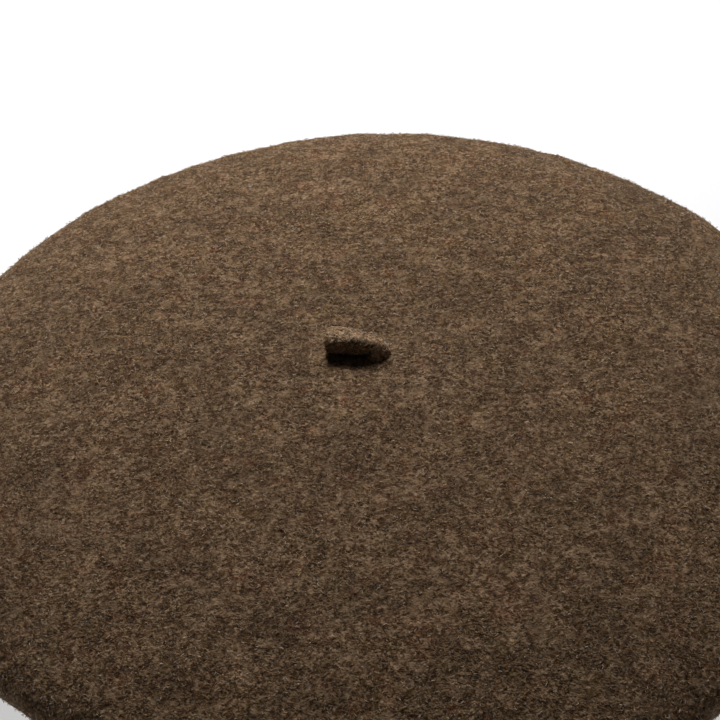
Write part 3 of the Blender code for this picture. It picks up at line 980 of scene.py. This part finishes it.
def make_band_join(hide, sewing):
    """The tab over the sweatband's two ends, domed, with a row of stitches down each side."""
    low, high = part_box("band_join")
    half_width, outer = 5.0 * MM, BAND_INSIDE - 0.12 * MM
    middle, half_height = (low.z + high.z) / 2, (high.z - low.z) / 2
    rows, columns = 30, 26
    u = np.linspace(-1, 1, columns)[None, :]
    v = np.linspace(-1, 1, rows)[:, None]
    squeeze = 1 - 0.06 * np.abs(v) ** 6 * np.ones_like(u)
    turn = math.pi / 2 - u * half_width * squeeze / outer
    height = middle + v * half_height * (1 - 0.05 * np.abs(u) ** 6)
    edge = np.clip(1 - np.maximum(np.abs(u), np.abs(v)) ** 10, 0, 1) ** 0.5
    seam = np.exp(-(((np.abs(u) - 0.74) / 0.07) ** 2)) * 0.14 * MM
    depth = 0.06 * MM + 0.66 * MM * edge - seam
    faces_in, faces_out = polar(outer - depth, turn, height), polar(outer, turn, height)
    points = np.concatenate([faces_in.reshape(-1, 3), faces_out.reshape(-1, 3)])
    tab = mesh_object("leather_tab", points, two_sided(rows, columns), hide)
    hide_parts("band_join")
    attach(tab, "hat")
    ends = []
    for side in (-1, 1):
        for i in range(6):
            z = middle + half_height * (-0.80 + 1.6 * i / 5.4)
            turn = math.pi / 2 - side * 0.74 * half_width / outer
            at = polar(outer - 0.66 * MM, turn, z)
            ends.append((at, at + np.array([0, 0, 1.45 * MM])))
    inward = [towards_middle(a) for a, _ in ends]
    row = mesh_object("tab_stitches", *stitches(ends, inward, 0.14 * MM, 0.08 * MM), sewing)
    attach(row, "hat")


def ribbon_section(thickness, width, count=9):
    """A flat ribbon's outline as (across thickness, across width), with a fuller selvedge."""
    w = np.linspace(-1, 1, count)
    full = thickness / 2 * (1 + 0.25 * np.abs(w) ** 8)
    full[[0, -1]] *= 0.55
    front = np.stack([full, w * width / 2], -1)
    return np.concatenate([front, front[::-1] * [-1, 1]])


def make_bow_knot(ribbon):
    """The knot: ribbon wrapped over itself in three slanting pleats."""
    half = (knot_high - knot_low) / 2
    rows, columns = 44, 56
    v = np.linspace(0, math.pi, rows)[:, None]
    u = (math.tau * np.arange(columns) / columns)[None, :]

    def power(x, n):
        return np.sign(x) * np.abs(x) ** n

    side, up = np.sin(v) * np.ones_like(u), np.cos(v) * np.ones_like(u)
    x = power(up, 0.75)
    y = power(side, 0.75) * power(np.cos(u), 0.7)
    z = power(side, 0.75) * power(np.sin(u), 0.8)
    pleat = 1 + 0.05 * np.sin(5.2 * x + 1.4 * z + 0.6) * np.abs(side) ** 0.5
    grid = np.stack([x * half.x * 0.97, y * half.y * 0.95 * pleat, z * half.z * 0.95 * pleat], -1)
    grid += np.array(KNOT_MIDDLE)
    knot = mesh_object("ribbon_knot", *capped_grid(grid), ribbon)
    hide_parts("bow_knot")
    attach(knot, "hat")


def make_bow_loop(name, side, ribbon):
    """A loop of ribbon that stands on its edge, gathered where it enters the knot."""
    length, depth = 13.7 * MM, 3.0 * MM
    count = 72
    a = math.tau * (np.arange(count) + 0.5) / count
    along = (1 - np.cos(a)) / 2
    path = np.stack([length * along, depth / 2 * np.sin(a) * along**0.5, 0 * a], -1)
    ahead = unit(np.roll(path, -1, 0) - np.roll(path, 1, 0))
    across = np.stack([ahead[:, 1], -ahead[:, 0], 0 * a], -1)
    width = RIBBON_WIDTH * (0.62 + 0.36 * smoothstep(along, 0.0, 0.35))
    section = ribbon_section(RIBBON, 1.0)
    pleat = 0.16 * MM * smoothstep(1 - along, 0.45, 1.0)
    grid = path[:, None] + across[:, None] * section[None, :, :1]
    grid = grid + across[:, None] * (pleat[:, None] * np.sin(section[None, :, 1] * 15.0))[..., None]
    grid[..., 2] += width[:, None] * section[None, :, 1]
    grid[..., 2] += 0.12 * MM * np.sin(along * 7.0)[:, None]
    turn = -side * math.radians(7)
    x, y = grid[..., 0] * side, grid[..., 1].copy()
    start = side * (knot_high.x - 0.05 * MM)
    grid[..., 0] = start + x * math.cos(turn) - y * math.sin(turn)
    grid[..., 1] = KNOT_MIDDLE.y - 0.6 * MM + x * math.sin(turn) + y * math.cos(turn)
    grid[..., 2] += KNOT_MIDDLE.z
    faces = grid_faces(count, len(section), closed_rows=True)
    loop = mesh_object(f"ribbon_{name[4:]}", grid.reshape(-1, 3), [faces], ribbon)
    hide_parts(name)
    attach(loop, "hat")


def make_bow_tail(name, side, ribbon):
    """A ribbon end that hangs from the knot, cut on the slant."""
    joint = next(j for j in frame["joints"] if j["child"] == f"tail_{name.split('_')[-1]}")
    top = Vector(joint["pos_m"])
    rows = 40
    t = np.linspace(0, 1, rows)
    drop = 8.85 * MM * t - 1.45 * MM
    width = RIBBON_WIDTH * (0.50 + 0.49 * smoothstep(t, 0.05, 0.42))
    section = ribbon_section(RIBBON, 1.0)
    wave = 0.05 * MM * np.sin(t * 6.0)
    grid = np.zeros((rows, len(section), 3))
    grid[..., 0] = width[:, None] * section[None, :, 1]
    grid[..., 1] = section[None, :, 0] + wave[:, None]
    slant = 0.9 * MM * smoothstep(t, 0.6, 1.0)[:, None] * (section[None, :, 1] * side * 2 + 1)
    grid[..., 2] = -drop[:, None] + slant
    lean = -side * math.radians(14)
    x, z = grid[..., 0].copy(), grid[..., 2].copy()
    grid[..., 0] = x * math.cos(lean) + z * math.sin(lean)
    grid[..., 2] = -x * math.sin(lean) + z * math.cos(lean)
    grid += np.array(top)
    count = len(section)
    sides = grid_faces(rows, count)
    half = count // 2
    j = np.arange(half - 1)
    cap = np.stack([j, j + 1, count - 2 - j, count - 1 - j], -1)
    ends = [cap[:, ::-1], cap + (rows - 1) * count]
    tail = mesh_object(f"ribbon_{name[4:]}", grid.reshape(-1, 3), [sides, *ends], ribbon)
    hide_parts(name)
    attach(tail, joint["child"])


def make_label(tape, sewing):
    """A blank woven tag, sewn along its top edge, with its two ends folded under."""
    pivot = Vector(label_joint["pos_m"])
    along = Vector(label_joint["axis"]).normalized()
    inward = Vector((-pivot.x, -pivot.y, 0)).normalized()
    columns, rows = 41, 25
    u = np.linspace(-1, 1, columns)[None, :]
    v = np.linspace(0, 1, rows)[:, None]
    half_width, height, thickness = 8.9 * MM, 9.8 * MM, 0.34 * MM
    fold = 0.10 * MM * smoothstep(np.abs(u), 0.86, 0.90)
    bow = 0.10 * MM * v**2 * np.cos(u * 1.2) + 0.02 * MM * np.sin(u * 9 + v * 5)
    edge = 0.10 * MM * np.clip(1 - np.maximum(np.abs(u) ** 30, np.abs(2 * v - 1) ** 30), 0, 1)
    middle, lift = np.array(pivot), np.array([0, 0, 1.0])
    flat = middle + u[..., None] * np.array(along) * half_width - v[..., None] * lift * height
    way = np.array(inward)
    front = flat + way * ((thickness / 2 - 0.10 * MM) + fold + bow + edge)[..., None]
    back = flat + way * (-(thickness / 2 - 0.02 * MM) + bow - edge * 0.5)[..., None]
    points = np.concatenate([front.reshape(-1, 3), back.reshape(-1, 3)])
    tag = mesh_object("woven_label", points, two_sided(rows, columns), tape)
    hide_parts("size_label")
    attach(tag, "label")
    ends = []
    for i in range(9):
        at = middle + np.array(along) * (-0.86 + 1.72 * i / 8.6) * half_width - lift * 0.9 * MM
        at = at + way * 0.22 * MM
        ends.append((at, at + np.array(along) * 1.15 * MM))
    sewn = stitches(ends, [way] * len(ends), 0.11 * MM, 0.05 * MM)
    row = mesh_object("label_stitches", *sewn, sewing)
    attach(row, "label")


# ---- Camera, light and floor


KEY_POWER = 3.1
FLOOR_GLOW = 0.54
WHITE = (1.0, 1.0, 1.0, 1.0)


def make_camera():
    """A 75 mm lens, a third of a metre in front and as far up, looking 42 degrees down."""
    pitch, roll = math.radians(42.0), math.radians(-4.0)
    right = Vector((1.0, 0.0, 0.0))
    up = Vector((0.0, math.sin(pitch), math.cos(pitch)))
    forward = Vector((0.0, math.cos(pitch), -math.sin(pitch)))
    c, s = math.cos(roll), math.sin(roll)
    x_axis = right * c + up * s
    y_axis = up * c - right * s
    data = bpy.data.cameras.new("camera")
    data.lens = 75.0
    data.sensor_width = 36.0
    data.clip_start = 0.01
    camera = bpy.data.objects.new("camera", data)
    matrix = Matrix((x_axis, y_axis, -forward)).transposed().to_4x4()
    matrix.translation = Vector((-0.0006, -0.3295, 0.3300))
    camera.matrix_world = matrix
    bpy.context.scene.collection.objects.link(camera)
    bpy.context.scene.camera = camera


def make_softbox():
    """One soft round light, high up behind the hat."""
    data = bpy.data.lights.new("back_softbox", "AREA")
    data.shape, data.size, data.energy = "DISK", 0.25, KEY_POWER
    light = bpy.data.objects.new("back_softbox", data)
    light.location = place = Vector((-0.03, 0.335, 0.415))
    light.rotation_euler = (Vector((0, 0.02, 0)) - place).to_track_quat("-Z", "Y").to_euler()
    bpy.context.scene.collection.objects.link(light)


def make_stage():
    """A plain pale floor and backdrop."""
    shader = Shader("pale_floor")
    speck = shader.noise(40.0, 2.0)
    shader.set(
        Base_Color=shader.mix(speck, (0.44, 0.44, 0.45), (0.47, 0.47, 0.48)),
        Roughness=0.9,
        Specular_IOR_Level=0.1,
        Emission_Color=WHITE,
        Emission_Strength=FLOOR_GLOW,
    )
    half = 3.0
    corners = [(-half, -half, 0), (half, -half, 0), (half, half, 0), (-half, half, 0)]
    corners = np.array(corners) - [0, 0, 0.05 * MM]
    floor = mesh_object("floor", corners, [np.array([[0, 1, 2, 3]])], shader.material, smooth=False)

    glow = Shader("pale_backdrop")
    glow.set(
        Base_Color=(0.0, 0.0, 0.0, 1.0),
        Roughness=1.0,
        Specular_IOR_Level=0.0,
        Emission_Color=WHITE,
        Emission_Strength=FLOOR_GLOW + 0.03,
    )
    grid = turned_grid([(2.9 * math.sin(a), 2.9 * math.cos(a)) for a in np.linspace(0, 1.7, 12)], 48)
    dome = mesh_object("backdrop", grid.reshape(-1, 3), [grid_faces(12, 48)], glow.material)
    for kind in ("diffuse", "glossy", "transmission", "shadow"):
        setattr(dome, f"visible_{kind}", False)

    world = bpy.data.worlds.new("studio")
    world.use_nodes = True
    background = world.node_tree.nodes["Background"]
    background.inputs["Color"].default_value = WHITE
    background.inputs["Strength"].default_value = 0.030
    bpy.context.scene.world = world
    bpy.context.scene.view_settings.view_transform = "Standard"


# ---- The hat

felt = heather_felt("heather_felt")
# A lighter copy of the felt for the stalk: painted highlight for its backlit top.
felt_painted_highlight = heather_felt("felt_painted_highlight", 2.1)
fibre_materials = [wool_fibre(name, colour) for name, colour, _ in FIBRE_COLOURS]
hide = leather()
satin_cloth = satin()
sewing = thread("sewing_thread", (0.085, 0.055, 0.034))
cotton = thread("drawstring_cotton", (0.100, 0.070, 0.046), 1200.0)
loop_ribbon = grosgrain("loop_grosgrain", "X")
tail_ribbon = grosgrain("tail_grosgrain", "Z")

make_camera()
make_softbox()
make_stage()
outer_grid, outer_normal = make_felt_body(felt)
share = 1.0
NAP_FIBRES, RIM_FIBRES, STALK_FIBRES = 16000, 14000, 2200
layers = (
    ("nap_middle", 0.00, 0.42),
    ("nap_crown", 0.30, 0.62),
    ("nap_shoulder", 0.50, 0.74),
    ("nap_rim", 0.66, 0.82),
    ("nap_brim", 0.78, 1.00),
)
for name, low, high in layers:
    nap(name, outer_grid, outer_normal, int(NAP_FIBRES * share), low, high)
halo(outer_grid, outer_normal, int(RIM_FIBRES * share), 0.48, 0.84)
stalk_grid, stalk_facing = make_stalk(felt_painted_highlight)
make_stalk_nap(stalk_grid, stalk_facing, int(STALK_FIBRES * share))
make_stalk_tack(sewing)
make_crown_lining(satin_cloth)
make_brim_lining(satin_cloth)
make_lining_seam(sewing)
make_sweatband(hide)
make_band_join(hide, sewing)
make_band_stitching(sewing)
make_drawstring(cotton)
make_bow_knot(loop_ribbon)
for side_name, side in (("left", -1), ("right", 1)):
    make_bow_loop(f"bow_loop_{side_name}", side, loop_ribbon)
    make_bow_tail(f"bow_tail_{side_name}", side, tail_ribbon)
make_label(woven_tape(), sewing)
